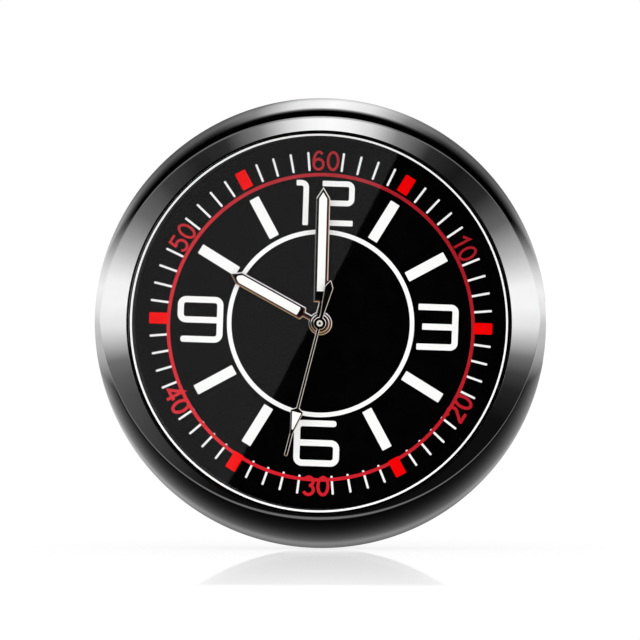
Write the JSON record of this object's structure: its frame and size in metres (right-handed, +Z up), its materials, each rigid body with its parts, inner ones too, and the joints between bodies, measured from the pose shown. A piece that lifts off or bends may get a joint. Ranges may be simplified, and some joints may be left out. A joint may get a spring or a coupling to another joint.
{
  "type": "car dashboard clock",
  "caption": "Round stick-on quartz clock for a dashboard, with a bright chrome bezel, flat glass, black dial, luminous hands and an adhesive back.",
  "frame": {"origin": "centre of the adhesive face at the back, on the axis of the dial", "axes": "+Z up towards twelve o'clock, +Y out of the back, so the dial faces -Y; +X towards three o'clock"},
  "size_m": [0.04, 0.0113, 0.04],
  "materials": {
    "chrome": "bright mirror chrome plate",
    "case_steel": "satin chrome plate",
    "cover_steel": "brushed stainless steel",
    "crystal_glass": "clear polished mineral glass",
    "black_rubber": "matt black nitrile",
    "white_plastic": "white moulded plastic",
    "dial_black": "black lacquer with printed marks",
    "holder_plastic": "moulded black plastic",
    "foam_tape": "closed-cell foam tape",
    "hand_black": "black lacquer on stamped brass",
    "lume": "luminous paint",
    "plate_brass": "satin brass",
    "wheel_brass": "polished brass",
    "screw_steel": "turned steel",
    "crown_steel": "fluted bright plate",
    "motor_iron": "rolled soft iron",
    "copper_wire": "enamelled copper wire",
    "board_green": "solder mask on laminate",
    "chip_resin": "black epoxy",
    "can_steel": "drawn nickel-plated can"
  },
  "bodies": {
    "back": {"back_cover": "cover_steel", "cover_gasket": "black_rubber", "adhesive_pad": "foam_tape"},
    "clock": {"bezel": "chrome", "case_body": "case_steel", "crystal": "crystal_glass", "crystal_gasket": "black_rubber", "spacer_ring": "white_plastic", "dial": "dial_black", "movement_holder": "holder_plastic", "main_plate": "plate_brass", "train_bridge": "plate_brass", "bridge_screws": "screw_steel", "stator": "motor_iron", "stator_screws": "screw_steel", "coil_core": "motor_iron", "coil_winding": "copper_wire", "dial_washer": "screw_steel", "circuit_board": "board_green", "quartz_can": "can_steel", "chip": "chip_resin", "battery": "can_steel", "battery_contact": "wheel_brass", "battery_clamp": "screw_steel", "clamp_screws": "screw_steel"},
    "hour": {"hour_wheel": "wheel_brass", "hour_hand": "hand_black", "hour_hand_lume": "lume"},
    "minute": {"cannon_pinion": "wheel_brass", "minute_hand": "hand_black", "minute_hand_lume": "lume"},
    "second": {"second_wheel": "wheel_brass", "second_hand": "hand_black", "second_hand_lume": "lume"},
    "third": {"third_wheel": "wheel_brass"},
    "centre": {"centre_wheel": "wheel_brass"},
    "step": {"step_wheel": "wheel_brass"},
    "rotor_body": {"rotor": "motor_iron"},
    "minute_train": {"minute_wheel": "wheel_brass"},
    "setting_train": {"setting_wheel": "wheel_brass"},
    "yoke": {"setting_yoke": "screw_steel"},
    "crown_body": {"crown": "crown_steel", "setting_stem": "screw_steel"}
  },
  "joints": [
    {"name": "case_pull_off", "type": "slide", "parent": "back", "child": "clock", "axis": [0, -1, 0], "range_m": [0, 0.008]},
    {"name": "minute_turn", "type": "hinge", "parent": "clock", "child": "minute", "pos_m": [0, -0.0059, 0], "axis": [0, -1, 0], "continuous": true},
    {"name": "hour_turn", "type": "hinge", "parent": "clock", "child": "hour", "pos_m": [0, -0.0059, 0], "axis": [0, -1, 0], "continuous": true},
    {"name": "minute_wheel_turn", "type": "hinge", "parent": "clock", "child": "minute_train", "pos_m": [0.00232, -0.0059, -0.00062], "axis": [0, -1, 0], "continuous": true},
    {"name": "setting_wheel_turn", "type": "hinge", "parent": "clock", "child": "setting_train", "pos_m": [0.00531, -0.0059, -0.00036], "axis": [0, -1, 0], "continuous": true},
    {"name": "second_turn", "type": "hinge", "parent": "clock", "child": "second", "pos_m": [0, -0.0059, 0], "axis": [0, -1, 0], "continuous": true},
    {"name": "third_wheel_turn", "type": "hinge", "parent": "clock", "child": "third", "pos_m": [0.00294, -0.0059, 0.0017], "axis": [0, -1, 0], "continuous": true},
    {"name": "centre_wheel_turn", "type": "hinge", "parent": "clock", "child": "centre", "pos_m": [0, -0.0059, 0], "axis": [0, -1, 0], "continuous": true},
    {"name": "step_wheel_turn", "type": "hinge", "parent": "clock", "child": "step", "pos_m": [-0.00299, -0.0059, 0.00172], "axis": [0, -1, 0], "continuous": true},
    {"name": "rotor_turn", "type": "hinge", "parent": "clock", "child": "rotor_body", "pos_m": [-0.00531, -0.0059, 0.00235], "axis": [0, -1, 0], "continuous": true},
    {"name": "crown_pull", "type": "slide", "parent": "clock", "child": "yoke", "axis": [1, 0, 0], "range_m": [0, 0.0006]},
    {"name": "crown_turn", "type": "hinge", "parent": "yoke", "child": "crown_body", "pos_m": [0.017, -0.0045, 0], "axis": [1, 0, 0], "continuous": true}
  ],
  "couplings": [
    {"joint": "hour_turn", "follows": "minute_turn", "ratio": 0.083333},
    {"joint": "minute_wheel_turn", "follows": "minute_turn", "ratio": -0.33333},
    {"joint": "setting_wheel_turn", "follows": "minute_turn", "ratio": 0.5},
    {"joint": "third_wheel_turn", "follows": "second_turn", "ratio": -0.13333},
    {"joint": "centre_wheel_turn", "follows": "second_turn", "ratio": 0.016667},
    {"joint": "step_wheel_turn", "follows": "second_turn", "ratio": -6},
    {"joint": "rotor_turn", "follows": "second_turn", "ratio": 30}
  ]
}
